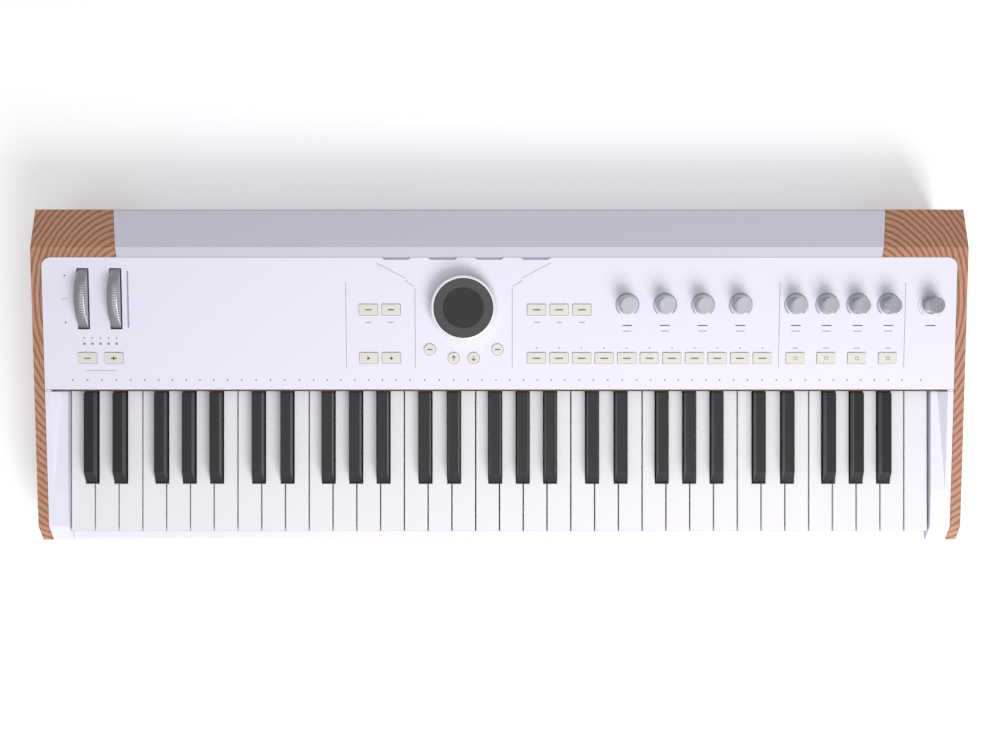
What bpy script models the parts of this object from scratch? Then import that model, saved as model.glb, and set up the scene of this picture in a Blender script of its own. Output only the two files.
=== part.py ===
"""A 61-key stage keyboard with wooden ends, at real size: metres, +Z up.

The origin is on the floor under the middle of the case. +X runs from the low keys to the high
keys, +Y from the player to the rear. The control panel is a tilted plane: u along its width,
v up its slope from the front edge, w along its normal, all measured from an empty on that edge.
"""

import math

import bmesh
import bpy
from mathutils import Matrix

# Keys
WHITE_PITCH = 0.0235
OCTAVES = 5
WHITES_IN_OCTAVE = 7
KEY_GAP = 0.0012
KEY_TOP = 0.068
KEY_TRAVEL = 0.010
WHITE_THICK = 0.010
WHITE_SKIRT = 0.008
SKIRT_WALL = 0.0025
WHITE_EDGE = 0.0005
WHITE_HEAD = 0.0466
WHITE_SHOWN = 0.1397
BLACK_GAP = 0.0008
BLACK_FRONT_GAP = 0.0009
BLACK_WIDTH = 0.0120
BLACK_TOP_WIDTH = 0.0096
BLACK_RISE = 0.0115
BLACK_SLOPE = 0.0112
# Each black key: the white boundary it stands on, and how far its centre is off that line
BLACK_PLACES = ((1, -0.0025), (2, 0.0022), (4, -0.0042), (5, -0.0005), (6, 0.0030))
FULL_WHITES = (0, 2, 4, 6)
MIDDLE_WHITES = (1, 3, 5)

# The rear bars that join the keys of one comb, stacked above each other at the hinge
HINGE_SETBACK = 0.0332
BAR_DEPTH = 0.014
POST_DEPTH = 0.004
COMB_GAP = 0.0012
BAR_HEIGHT = 0.0045
LOW_BAR_DROP = 0.018
HIGH_BAR_RISE = 0.002

# Case
SEAT = 0.0003
WALL = 0.0025
FOOT_HEIGHT = 0.006
FOOT_RADIUS = 0.009
FOOT_INSET = 0.050
LIP_DEPTH = 0.0085
LIP_ROUND = 0.003
LIP_BELOW_KEY = 0.001
LIP_KEY_GAP = 0.0016
SKIRT_HEM = 0.006
CHEEK_GAP = 0.0009
CHEEK_WIDTH = 0.0197
CHEEK_RIM = 0.0056
CHEEK_FLAT_START = 0.051
CHEEK_BASE = 0.039
WOOD_GAP = 0.0004
WOOD_THICK = 0.010
WOOD_CHAMFER = 0.015
WOOD_CHAMFER_DROP = 0.0135

# Panel
PANEL_TILT = math.radians(4.65)
PANEL_ABOVE_KEY = 0.0144
PANEL_WALL = 0.0025
PANEL_CORNER = 0.009
PANEL_REAR_MARGIN = 0.0103
PANEL_LIP_DROP = 0.0024
PANEL_LIP_WALL = 0.0015
FELT_DEPTH = 0.0015
FELT_INSET = 0.0076
REST_NOTCH_WIDTH = 0.0260
REST_NOTCH_FLARE = 0.0024
REST_NOTCH_DEPTH = 0.0023
REST_NOTCH_PITCH = 0.0450
REST_NOTCHES = 4

# Rear cover
BAND_DEPTH = 0.0096
BAND_RISE = 0.0004
SLOPE_DEPTH = 0.0382
SLOPE_DROP = 0.0134
COVER_ROUND = 0.0015
COVER_INSET = 0.0730
COVER_SLANT = 0.0070
LEDGE = 0.003

# Pitch and modulation wheels
WHEEL_RADIUS = 0.036
WHEEL_RISE = 0.013
WHEEL_WIDTH = 0.010
WHEEL_SIDE_GAP = 0.001
WHEEL_END_GAP = 0.002
WHEEL_SCOOP_RADIUS = 0.014
WHEEL_SCOOP_DEPTH = 0.003
WHEEL_FRONT_MARGIN = 0.0587
PITCH_INSET = 0.0396
WHEEL_PITCH = 0.0317
MOD_REST_ANGLE = math.radians(-23)
AXLE_RADIUS = 0.003
BRACKET_WALL = 0.002
BRACKET_DROP = 0.009

# Knobs and dial
KNOB_RADIUS = 0.0076
KNOB_SKIRT = 0.0090
KNOB_SKIRT_HEIGHT = 0.0016
KNOB_HEIGHT = 0.0185
KNOB_LIFT = 0.0005
KNOB_DISH = 0.0004
STEM_RADIUS = 0.003
STEM_GAP = 0.0006
RING_RADIUS = 0.0316
RING_WALL = 0.0029
RING_HEIGHT = 0.0135
GLASS_RECESS = 0.0009
DIAL_TRAVEL = 0.0006

# Buttons
BUTTON_WIDTH = 0.0180
BUTTON_DEPTH = 0.0107
BUTTON_CORNER = 0.0010
ROUND_BUTTON_RADIUS = 0.0056
BUTTON_GAP = 0.00035
BUTTON_RISE = 0.0010
BUTTON_TRAVEL = 0.0010
FLANGE_WALL = 0.0010
FLANGE_LIP = 0.0012

# Places of the controls: u is measured in from the panel's left or right edge
OCTAVE_BUTTON_INSET = 0.0426
OCTAVE_BUTTON_PITCH = 0.0257
MASTER_INSET = 0.0246
EFFECT_INSET = 0.0655
EFFECT_PITCH = 0.0300
EFFECTS = 4
SOUND_INSET = 0.1875
SOUND_PITCH = 0.0220
SOUNDS = 11
PARTS = 3
MACRO_INSET = 0.2093
MACRO_PITCH = 0.0367
MACROS = 4
DIAL_INSET = 0.4783
NAV_OUTER = 0.0329
NAV_INNER = 0.0097
TRANSPORT_FROM_DIAL = 0.0924
LOW_ROW = 0.0306
HIGH_ROW = 0.0777
NAV_ROW = 0.0391
KNOB_ROW = 0.0826
DIAL_ROW = 0.0800

# Boards inside
BOARD_WALL = 0.0016
PANEL_BOARD_DROP = 0.0066
PANEL_BOARD_FRONT = 0.0200
PANEL_BOARD_REAR = 0.1120
PANEL_BOARD_INSET = 0.0120
PANEL_BOARD_TAB = 0.0220
SWITCH_SIZE = 0.006
SWITCH_HEIGHT = 0.0016
POT_SIZE = 0.012
BITE = 0.0005
BOSS = 0.008

# Key frame and the contact board under the keys
FRAME_FLOOR = 0.012
FRAME_WALL = 0.002
FRAME_INSET = 0.004
RAIL_WALL = 0.003
STOP_SETBACK = 0.015
STOP_GAP = 0.0008
CONTACT_FRONT = 0.050
CONTACT_WIDTH = 0.050
CONTACT_STRIP = 0.0055
CONTACT_GAP = 0.0008

# Main board and the sockets in the rear
MAIN_BOARD_LIFT = 0.012
MAIN_BOARD_DEPTH = 0.052
SOCKET_WALL = 0.0025
SOCKET_DEPTH = 0.020
SOCKET_FLOOR = 0.002
SOCKET_BORE_RISE = 0.011
SOCKET_MARGIN = 0.012
WALL_HOLE_GAP = 0.0010
JACK_RADIUS = 0.0033
DIN_RADIUS = 0.0078
DIN_DEPTH = 0.0050
USB_WIDTH = 0.0124
USB_HEIGHT = 0.0112
POWER_RADIUS = 0.0032
# Each socket: kind, and where it stands along X
SOCKET_ROW = (
    ("power", -0.230), ("usb", -0.190), ("din", -0.152), ("din", -0.120), ("jack", -0.075),
    ("jack", -0.048), ("jack", -0.021), ("jack", 0.030), ("jack", 0.057), ("jack", 0.100),
)

# Worked out from the sizes above
KEYBED_HALF = WHITE_PITCH * (WHITES_IN_OCTAVE * OCTAVES + 1) / 2
OCTAVE_WIDTH = WHITE_PITCH * WHITES_IN_OCTAVE
CHEEK_INNER = KEYBED_HALF + CHEEK_GAP
PANEL_HALF = CHEEK_INNER + CHEEK_WIDTH
WOOD_INNER = PANEL_HALF + WOOD_GAP
WOOD_OUTER = WOOD_INNER + WOOD_THICK
WHEEL_DEPTH = WHEEL_RADIUS - WHEEL_RISE
SLOT_HALF = math.sqrt(WHEEL_RADIUS ** 2 - WHEEL_DEPTH ** 2) + WHEEL_END_GAP
WHEEL_ROW = WHEEL_FRONT_MARGIN + SLOT_HALF
PANEL_LENGTH = WHEEL_ROW + SLOT_HALF + PANEL_REAR_MARGIN
PANEL_RUN = PANEL_LENGTH * math.cos(PANEL_TILT)
DEPTH = (LIP_DEPTH + LIP_KEY_GAP + WHITE_SHOWN + PANEL_RUN + SEAT + BAND_DEPTH + SLOPE_DEPTH)
FRONT_Y = -DEPTH / 2
REAR_Y = DEPTH / 2
KEY_FRONT_Y = FRONT_Y + LIP_DEPTH + LIP_KEY_GAP
HEAD_REAR_Y = KEY_FRONT_Y + WHITE_HEAD
BLACK_FRONT_Y = HEAD_REAR_Y + BLACK_FRONT_GAP
PANEL_FRONT_Y = KEY_FRONT_Y + WHITE_SHOWN
PANEL_FRONT_Z = KEY_TOP + PANEL_ABOVE_KEY
BLACK_REAR_Y = PANEL_FRONT_Y - FELT_DEPTH - 2 * SEAT - COMB_GAP
HINGE_Y = PANEL_FRONT_Y + HINGE_SETBACK
BAR_FRONT_Y = HINGE_Y - BAR_DEPTH
POST_REAR_Y = BAR_FRONT_Y + POST_DEPTH
WHITE_BOTTOM = KEY_TOP - WHITE_THICK
LOW_BAR_Z = KEY_TOP - LOW_BAR_DROP
HIGH_BAR_Z = KEY_TOP + HIGH_BAR_RISE
KEY_ANGLE = math.asin(KEY_TRAVEL / (HINGE_Y - KEY_FRONT_Y))
FLOOR_Z = FOOT_HEIGHT + WALL
LIP_TOP = KEY_TOP - KEY_TRAVEL - LIP_BELOW_KEY
CHEEK_BASE_Z = FOOT_HEIGHT + CHEEK_BASE
COVER_HALF_FRONT = PANEL_HALF - COVER_INSET
COVER_HALF_REAR = COVER_HALF_FRONT + COVER_SLANT
PITCH_U = -PANEL_HALF + PITCH_INSET
MOD_U = PITCH_U + WHEEL_PITCH
SLOT_HALF_WIDTH = WHEEL_WIDTH / 2 + WHEEL_SIDE_GAP
MASTER_U = PANEL_HALF - MASTER_INSET
DIAL_U = PANEL_HALF - DIAL_INSET
GLASS_RADIUS = RING_RADIUS - RING_WALL - SEAT
CONTACT_FRONT_Y = BLACK_FRONT_Y + CONTACT_FRONT
CONTACT_TOP_Z = (WHITE_BOTTOM - (HINGE_Y - CONTACT_FRONT_Y) * math.sin(KEY_ANGLE) - CONTACT_GAP)
CONTACT_BOARD_Z = CONTACT_TOP_Z - CONTACT_STRIP - BOARD_WALL
MAIN_BOARD_Z = FLOOR_Z + MAIN_BOARD_LIFT
SOCKET_AXIS_Z = MAIN_BOARD_Z + BOARD_WALL + SOCKET_BORE_RISE

# Colours, roughness and metal of each finish
WHITE_PAINT = ((0.76, 0.73, 0.84), 0.42, 0.0)
WALNUT = ((0.45, 0.24, 0.16), 0.55, 0.0)
KEY_WHITE = ((0.80, 0.78, 0.80), 0.30, 0.0)
KEY_BLACK = ((0.012, 0.012, 0.014), 0.25, 0.0)
WARM_GREY = ((0.66, 0.63, 0.58), 0.50, 0.0)
TURNED_METAL = ((0.80, 0.80, 0.80), 0.28, 1.0)
STEEL = ((0.55, 0.56, 0.58), 0.40, 1.0)
BLACK_GLASS = ((0.01, 0.01, 0.012), 0.05, 0.0)
RUBBER = ((0.03, 0.03, 0.03), 0.85, 0.0)
GREEN_BOARD = ((0.02, 0.16, 0.07), 0.50, 0.0)
FELT = ((0.22, 0.10, 0.06), 0.95, 0.0)


def clear_scene():
    """Remove every object, so that the script starts from nothing."""
    for old in list(bpy.data.objects):
        bpy.data.objects.remove(old, do_unlink=True)


def mesh_of(bm, name="solid"):
    """Turn a bmesh into a mesh whose faces point outwards."""
    bmesh.ops.recalc_face_normals(bm, faces=bm.faces)
    mesh = bpy.data.meshes.new(name)
    bm.to_mesh(mesh)
    bm.free()
    return mesh


def stack(rings, name="solid"):
    """A closed solid through rings of equally many points, capped at both ends."""
    bm = bmesh.new()
    loops = [[bm.verts.new(point) for point in ring] for ring in rings]
    count = len(loops[0])
    for low, high in zip(loops, loops[1:]):
        for i in range(count):
            j = (i + 1) % count
            bm.faces.new((low[i], low[j], high[j], high[i]))
    bm.faces.new(list(reversed(loops[0])))
    bm.faces.new(loops[-1])
    return mesh_of(bm, name)


def prism(outline, low, high):
    """A plan outline of (x, y) points raised from low to high."""
    return stack([[(x, y, z) for x, y in outline] for z in (low, high)])


def box(x0, x1, y0, y1, z0, z1):
    """A box between two corners."""
    return prism(((x0, y0), (x1, y0), (x1, y1), (x0, y1)), z0, z1)


def slab(side, x0, x1):
    """A side outline of (y, z) points carried along X from x0 to x1."""
    return stack([[(x, y, z) for y, z in side] for x in (x0, x1)])


def arc(cx, cy, radius, start, end, steps):
    """Points on an arc, angles in degrees."""
    points = []
    for i in range(steps + 1):
        angle = math.radians(start + (end - start) * i / steps)
        points.append((cx + radius * math.cos(angle), cy + radius * math.sin(angle)))
    return points


def circle(cx, cy, radius, steps):
    """Points round a circle."""
    return arc(cx, cy, radius, 0, 360 - 360 / steps, steps - 1)


def rounded(cx, cy, width, depth, radius, steps=3):
    """A rectangle with rounded corners, as plan points."""
    x, y = width / 2 - radius, depth / 2 - radius
    points = []
    for sx, sy, start in ((1, 1, 0), (-1, 1, 90), (-1, -1, 180), (1, -1, 270)):
        points += arc(cx + sx * x, cy + sy * y, radius, start, start + 90, steps)
    return points


def turned(profile, steps, cx=0.0, cy=0.0):
    """A solid of revolution about Z: profile points (radius, z) run bottom to top."""
    bm = bmesh.new()
    rings = []
    for radius, z in profile:
        if radius == 0:
            rings.append([bm.verts.new((cx, cy, z))])
        else:
            rings.append([bm.verts.new((x, y, z)) for x, y in circle(cx, cy, radius, steps)])
    for low, high in zip(rings, rings[1:]):
        for i in range(steps):
            j = (i + 1) % steps
            corners = [low[i % len(low)], low[j % len(low)], high[j % len(high)], high[i % len(high)]]
            bm.faces.new(list(dict.fromkeys(corners)))
    return mesh_of(bm)


def ring_solid(profile, steps):
    """A solid ring about Z: profile is a closed loop of (radius, z) points."""
    bm = bmesh.new()
    rings = [[bm.verts.new((x, y, z)) for x, y in circle(0, 0, r, steps)] for r, z in profile]
    for low, high in zip(rings, rings[1:] + rings[:1]):
        for i in range(steps):
            j = (i + 1) % steps
            bm.faces.new((low[i], low[j], high[j], high[i]))
    return mesh_of(bm)


def rod(radius, x0, x1, y, z, steps=16):
    """A round rod along X."""
    return slab(circle(y, z, radius, steps), x0, x1)


def bore(radius, x, y0, y1, z, steps=16):
    """A round rod along Y, used to cut a socket or a hole in the rear."""
    ring = circle(x, z, radius, steps)
    return stack([[(px, y, pz) for px, pz in ring] for y in (y0, y1)])


def together(meshes):
    """One mesh that holds several loose solids, for use as the second side of a Boolean."""
    bm = bmesh.new()
    for mesh in meshes:
        bm.from_mesh(mesh)
        bpy.data.meshes.remove(mesh)
    return mesh_of(bm)


def boolean(first, others, operation):
    """Join or cut a mesh with others and give the result as a new mesh."""
    body = bpy.data.objects.new("body", first)
    tool = bpy.data.objects.new("tool", together(others))
    bpy.context.collection.objects.link(body)
    bpy.context.collection.objects.link(tool)
    modifier = body.modifiers.new(operation, "BOOLEAN")
    modifier.operation = operation
    modifier.solver = "EXACT"
    modifier.use_self = True
    modifier.object = tool
    graph = bpy.context.evaluated_depsgraph_get()
    mesh = bpy.data.meshes.new_from_object(body.evaluated_get(graph))
    bpy.data.objects.remove(body)
    bpy.data.objects.remove(tool)
    return mesh


def fuse(first, others):
    """The union of solids that overlap."""
    return boolean(first, others, "UNION")


def carve(first, others):
    """A solid with others cut out of it."""
    return boolean(first, others, "DIFFERENCE")


def mirrored(mesh):
    """The same solid on the other side of the keyboard."""
    copy = mesh.copy()
    copy.transform(Matrix.Scale(-1, 4, (1, 0, 0)))
    copy.flip_normals()
    return copy


def place(name, mesh, finish, parent=None, origin=(0, 0, 0), smooth=False):
    """Link a solid under its own name and finish, with its origin where its joint turns."""
    mesh.transform(Matrix.Translation([-value for value in origin]))
    add_copy(name, mesh, finish, parent, origin)
    if smooth:
        mesh.shade_smooth()
        mesh.set_sharp_from_angle(angle=math.radians(35))


def add_copy(name, mesh, finish, parent=None, origin=(0, 0, 0)):
    """Link an object that shares the given mesh, and give it a material of its own."""
    colour, roughness, metallic = finish
    material = bpy.data.materials.new(name)
    material.use_nodes = True
    shader = material.node_tree.nodes["Principled BSDF"]
    shader.inputs["Base Color"].default_value = (*colour, 1)
    shader.inputs["Roughness"].default_value = roughness
    shader.inputs["Metallic"].default_value = metallic
    if not mesh.materials:
        mesh.materials.append(None)
    piece = bpy.data.objects.new(name, mesh)
    piece.material_slots[0].link = "OBJECT"
    piece.material_slots[0].material = material
    piece.parent = parent
    piece.location = origin
    bpy.context.collection.objects.link(piece)
    return piece


def panel_point(v, w):
    """World (y, z) of a point v up the panel's slope and w along its normal."""
    sine, cosine = math.sin(PANEL_TILT), math.cos(PANEL_TILT)
    return (PANEL_FRONT_Y + v * cosine - w * sine, PANEL_FRONT_Z + v * sine + w * cosine)


def slope_z(y, w=0.0):
    """Height of the panel's plane, or of a plane w above it, at world y."""
    return PANEL_FRONT_Z + (y - PANEL_FRONT_Y) * math.tan(PANEL_TILT) + w / math.cos(PANEL_TILT)


def inset_outline(outline, amount):
    """An anticlockwise outline drawn in by a distance on every side."""
    points = []
    for i, (x, y) in enumerate(outline):
        px, py = outline[i - 1]
        nx, ny = outline[(i + 1) % len(outline)]
        ax, ay = x - px, y - py
        bx, by = nx - x, ny - y
        la, lb = math.hypot(ax, ay), math.hypot(bx, by)
        mx, my = -ay / la - by / lb, ax / la + bx / lb
        scale = 2 * amount / (mx * mx + my * my)
        points.append((x + mx * scale, y + my * scale))
    return points


def black_centre(place_index):
    """How far a black key's centre is from the left edge of its octave."""
    boundary, offset = BLACK_PLACES[place_index]
    return boundary * WHITE_PITCH + offset


def white_outline(index, rear_y, alone=False):
    """Plan of one white key: a wide head and a tail cut away beside the black keys."""
    left = index * WHITE_PITCH + KEY_GAP / 2
    right = (index + 1) * WHITE_PITCH - KEY_GAP / 2
    tail_left, tail_right = left, right
    cut = BLACK_WIDTH / 2 + BLACK_GAP
    for number, (boundary, _) in enumerate(BLACK_PLACES):
        if alone:
            break
        if boundary == index:
            tail_left = black_centre(number) + cut
        if boundary == index + 1:
            tail_right = black_centre(number) - cut
    outline = [(left, KEY_FRONT_Y), (right, KEY_FRONT_Y)]
    if tail_right < right:
        outline += [(right, HEAD_REAR_Y), (tail_right, HEAD_REAR_Y)]
    outline += [(tail_right, rear_y), (tail_left, rear_y)]
    if tail_left > left:
        outline += [(tail_left, HEAD_REAR_Y), (left, HEAD_REAR_Y)]
    return outline, tail_left, tail_right


def white_key(index, rear_y, alone=False):
    """The solids of one white key: body with broken top edges, and the front skirt."""
    outline, _, _ = white_outline(index, rear_y, alone)
    edge = inset_outline(outline, WHITE_EDGE)
    body = stack([
        [(x, y, WHITE_BOTTOM) for x, y in outline],
        [(x, y, KEY_TOP - WHITE_EDGE) for x, y in outline],
        [(x, y, KEY_TOP) for x, y in edge],
    ])
    left, right = outline[0][0], outline[1][0]
    skirt = box(left, right, KEY_FRONT_Y, KEY_FRONT_Y + SKIRT_WALL,
                WHITE_BOTTOM - WHITE_SKIRT, WHITE_BOTTOM + BITE)
    return [body, skirt]


def full_white_comb():
    """C, E, G and B of one octave, joined by the middle bar at the hinge."""
    solids = []
    for index in FULL_WHITES:
        solids += white_key(index, HINGE_Y)
    _, left, _ = white_outline(FULL_WHITES[0], HINGE_Y)
    _, _, right = white_outline(FULL_WHITES[-1], HINGE_Y)
    bar = box(left, right, POST_REAR_Y + COMB_GAP, HINGE_Y, WHITE_BOTTOM + BITE, KEY_TOP - WHITE_EDGE - BITE)
    return fuse(bar, solids)


def middle_white_comb():
    """D, F and A of one octave, whose posts drop to the lowest bar."""
    solids = []
    edges = []
    for index in MIDDLE_WHITES:
        _, left, right = white_outline(index, POST_REAR_Y)
        solids += white_key(index, POST_REAR_Y)
        solids.append(box(left + BITE, right - BITE, BAR_FRONT_Y + BITE, POST_REAR_Y - BITE,
                          LOW_BAR_Z + BITE, WHITE_BOTTOM + 2 * BITE))
        edges += [left, right]
    bar = box(min(edges), max(edges), BAR_FRONT_Y, HINGE_Y, LOW_BAR_Z, LOW_BAR_Z + BAR_HEIGHT)
    return fuse(bar, solids)


def black_key(centre):
    """The solids of one black key: a tapered cap with a sloped front, and its tail."""
    foot = BLACK_WIDTH / 2
    top = BLACK_TOP_WIDTH / 2
    low, level, high = WHITE_BOTTOM + BITE * 2, KEY_TOP, KEY_TOP + BLACK_RISE
    rows = ((low, foot, 0), (level, foot, 0), (high, top, BLACK_SLOPE))
    cap = stack([
        [(centre - half, BLACK_FRONT_Y + lean, z), (centre + half, BLACK_FRONT_Y + lean, z),
         (centre + half, BLACK_REAR_Y, z), (centre - half, BLACK_REAR_Y, z)]
        for z, half, lean in rows
    ])
    tail = box(centre - foot + BITE, centre + foot - BITE, BLACK_REAR_Y - BITE, POST_REAR_Y,
               low + BITE, HIGH_BAR_Z + BAR_HEIGHT - BITE)
    return [cap, tail]


def black_comb():
    """The five black keys of one octave, joined by the highest bar."""
    solids = []
    for number in range(len(BLACK_PLACES)):
        solids += black_key(black_centre(number))
    foot = BLACK_WIDTH / 2
    bar = box(black_centre(0) - foot, black_centre(len(BLACK_PLACES) - 1) + foot,
              BAR_FRONT_Y, HINGE_Y, HIGH_BAR_Z, HIGH_BAR_Z + BAR_HEIGHT)
    return fuse(bar, solids)


def comb_axes():
    """Height of the hinge axis of each kind of comb: at the middle of its bar's rear face."""
    return {
        "full": (WHITE_BOTTOM + KEY_TOP) / 2,
        "middle": LOW_BAR_Z + BAR_HEIGHT / 2,
        "black": HIGH_BAR_Z + BAR_HEIGHT / 2,
    }


def build_keys():
    """Three combs for each octave, which share their meshes, and the single top C."""
    axes = comb_axes()
    kinds = (
        ("keys_c_e_g_b", full_white_comb(), axes["full"], KEY_WHITE),
        ("keys_d_f_a", middle_white_comb(), axes["middle"], KEY_WHITE),
        ("keys_black", black_comb(), axes["black"], KEY_BLACK),
    )
    for kind, mesh, axis_z, finish in kinds:
        mesh.transform(Matrix.Translation((0, -HINGE_Y, -axis_z)))
        for octave in range(OCTAVES):
            left = -KEYBED_HALF + octave * OCTAVE_WIDTH
            add_copy(f"{kind}_{octave + 1}", mesh, finish, None, (left, HINGE_Y, axis_z))
    left = -KEYBED_HALF + OCTAVES * OCTAVE_WIDTH
    body, skirt = white_key(0, HINGE_Y, alone=True)
    top_c = fuse(body, [skirt])
    top_c.transform(Matrix.Translation((0, -HINGE_Y, -axes["full"])))
    add_copy("key_top_c", top_c, KEY_WHITE, None, (left, HINGE_Y, axes["full"]))


def wood_side():
    """Side outline of a wooden end: front chamfer, long slope, ridge and rear slope."""
    chamfer_y = FRONT_Y + WOOD_CHAMFER
    ridge_y = REAR_Y - SLOPE_DEPTH
    ridge_z = ridge_height()
    return [
        (FRONT_Y, FOOT_HEIGHT), (REAR_Y, FOOT_HEIGHT), (REAR_Y, ridge_z - SLOPE_DROP),
        (ridge_y, ridge_z), (ridge_y - BAND_DEPTH, ridge_z - BAND_RISE),
        (chamfer_y, slope_z(chamfer_y)), (FRONT_Y, slope_z(chamfer_y) - WOOD_CHAMFER_DROP),
    ]


def ridge_height():
    """Height of the ridge behind the panel."""
    return panel_point(PANEL_LENGTH, 0)[1] + BAND_RISE


def wooden_end():
    """The right-hand wooden end: a side board and the block that wraps the rear corner."""
    board = slab(wood_side(), WOOD_INNER, WOOD_OUTER)
    front_y = REAR_Y - SLOPE_DEPTH - BAND_DEPTH
    corner = [
        (COVER_HALF_FRONT + SEAT, front_y), (WOOD_INNER + BITE, front_y),
        (WOOD_INNER + BITE, REAR_Y), (COVER_HALF_REAR + SEAT, REAR_Y),
    ]
    ridge_y, ridge_z = REAR_Y - SLOPE_DEPTH, ridge_height()
    block = prism(corner, FOOT_HEIGHT, ridge_z + WALL)
    above = slab([
        (front_y - WALL, ridge_z - BAND_RISE), (front_y, ridge_z - BAND_RISE), (ridge_y, ridge_z),
        (REAR_Y, ridge_z - SLOPE_DROP), (REAR_Y + WALL, ridge_z - SLOPE_DROP - WALL),
        (REAR_Y + WALL, ridge_z + 2 * WALL), (front_y - WALL, ridge_z + 2 * WALL),
    ], 0, WOOD_OUTER + WALL)
    block = carve(block, [above])
    wood = fuse(board, [block])
    corner_fill = []
    pocket = PANEL_CORNER
    cx, cy = PANEL_HALF - pocket, panel_point(PANEL_LENGTH, 0)[0] - pocket
    fillet = [(WOOD_INNER + BITE, cy), (WOOD_INNER + BITE, front_y + BITE), (cx, front_y + BITE)]
    fillet += arc(cx, cy, pocket + WOOD_GAP, 90, 0, 6)
    top = slope_z(cy)
    corner_fill.append(prism(fillet, top - PANEL_WALL / 2, top))
    return fuse(wood, corner_fill)


def cheek_section(y, rim_z, floor_z, base_z):
    """Cross-section of the right cheek block at one depth."""
    rim_x = PANEL_HALF - CHEEK_RIM
    facet_x = rim_x - max(rim_z - floor_z, BITE)
    return [
        (CHEEK_INNER, y, base_z), (PANEL_HALF, y, base_z), (PANEL_HALF, y, rim_z),
        (rim_x, y, rim_z), (facet_x, y, floor_z), (CHEEK_INNER, y, floor_z),
    ]


def cheek_block():
    """The right cheek: its rim follows the wood, its inner floor stays level near the panel."""
    end_y = PANEL_FRONT_Y - FELT_DEPTH - 2 * SEAT
    chamfer_y = FRONT_Y + WOOD_CHAMFER
    flat_y = FRONT_Y + CHEEK_FLAT_START
    front_z = slope_z(chamfer_y) - WOOD_CHAMFER_DROP
    floor_z = slope_z(flat_y)
    body = stack([
        cheek_section(FRONT_Y, front_z, front_z, CHEEK_BASE_Z),
        cheek_section(chamfer_y, slope_z(chamfer_y), slope_z(chamfer_y), CHEEK_BASE_Z),
        cheek_section(flat_y, floor_z, floor_z, CHEEK_BASE_Z),
        cheek_section(end_y, slope_z(end_y), floor_z, CHEEK_BASE_Z),
    ])
    apron = box(CHEEK_INNER, PANEL_HALF, FRONT_Y, FRONT_Y + WALL, FOOT_HEIGHT + SKIRT_HEM, CHEEK_BASE_Z + BITE)
    rim_end = box(PANEL_HALF - CHEEK_RIM, PANEL_HALF, end_y - BITE, PANEL_FRONT_Y - SEAT,
                  CHEEK_BASE_Z + BITE, slope_z(end_y) - BITE)
    tongue_top = slope_z(PANEL_FRONT_Y, -PANEL_WALL - PANEL_LIP_DROP) - SEAT
    tongue = box(CHEEK_INNER + BITE, PANEL_HALF - BITE, end_y - BITE, PANEL_FRONT_Y + BOSS * 2,
                 tongue_top - 2 * BOSS, min(tongue_top, floor_z) - SEAT)
    return fuse(body, [apron, rim_end, tongue])


def front_rail():
    """The white lip in front of the keys: a rounded top edge and a wall down the front."""
    back_y = FRONT_Y + LIP_DEPTH
    half = KEYBED_HALF + CHEEK_GAP - SEAT
    side = [(FRONT_Y + WALL, FOOT_HEIGHT + SKIRT_HEM), (FRONT_Y + WALL, LIP_TOP - WALL),
            (back_y, LIP_TOP - WALL), (back_y, LIP_TOP)]
    side += arc(FRONT_Y + LIP_ROUND, LIP_TOP - LIP_ROUND, LIP_ROUND, 90, 180, 4)
    side.append((FRONT_Y, FOOT_HEIGHT + SKIRT_HEM))
    return slab(side, -half, half)


def bottom_case():
    """The tray: floor, front wall, side walls and the posts that carry frame and board."""
    front_y = FRONT_Y + WALL + SEAT
    neck_y = REAR_Y - SLOPE_DEPTH - BAND_DEPTH - SEAT
    floor = prism([
        (-PANEL_HALF, front_y), (PANEL_HALF, front_y), (PANEL_HALF, neck_y),
        (COVER_HALF_FRONT, neck_y), (COVER_HALF_REAR, REAR_Y), (-COVER_HALF_REAR, REAR_Y),
        (-COVER_HALF_FRONT, neck_y), (-PANEL_HALF, neck_y),
    ], FOOT_HEIGHT, FLOOR_Z)
    low, wall_top = FOOT_HEIGHT + BITE, CHEEK_BASE_Z - SEAT
    step_y = PANEL_FRONT_Y + 2 * BOSS + COMB_GAP
    under = -PANEL_WALL - SEAT
    end_y = neck_y - COMB_GAP
    side = [(front_y, low), (end_y, low), (end_y, slope_z(end_y, under)),
            (step_y, slope_z(step_y, under)), (step_y, wall_top), (front_y, wall_top)]
    parts = [
        box(-PANEL_HALF + BITE, PANEL_HALF - BITE, front_y, front_y + WALL, low, wall_top - BITE),
        slab(side, PANEL_HALF - WALL, PANEL_HALF),
        slab(side, -PANEL_HALF, -PANEL_HALF + WALL),
    ]
    for x, y, height in post_places():
        parts.append(box(x - BOSS / 2, x + BOSS / 2, y - BOSS / 2, y + BOSS / 2, low, height))
    return fuse(floor, parts)


def post_places():
    """Where the floor's posts stand and how high they reach."""
    places = []
    frame_half = KEYBED_HALF - FRAME_INSET - BOSS
    for x in (-frame_half, 0, frame_half):
        for y in (KEY_FRONT_Y + STOP_SETBACK + BOSS, HINGE_Y - BOSS):
            places.append((x, y, FRAME_FLOOR - SEAT))
    first, last = main_board_ends()
    for x in (first + BOSS, last - BOSS):
        for y in (main_board_front() + BOSS, REAR_Y - WALL - SOCKET_MARGIN):
            places.append((x, y, MAIN_BOARD_Z - SEAT))
    return places


def foot():
    """A round rubber foot with a broken lower edge."""
    return turned([(0, 0), (FOOT_RADIUS - 0.001, 0), (FOOT_RADIUS, 0.001),
                   (FOOT_RADIUS, FOOT_HEIGHT - SEAT), (0, FOOT_HEIGHT - SEAT)], 24)


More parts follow.
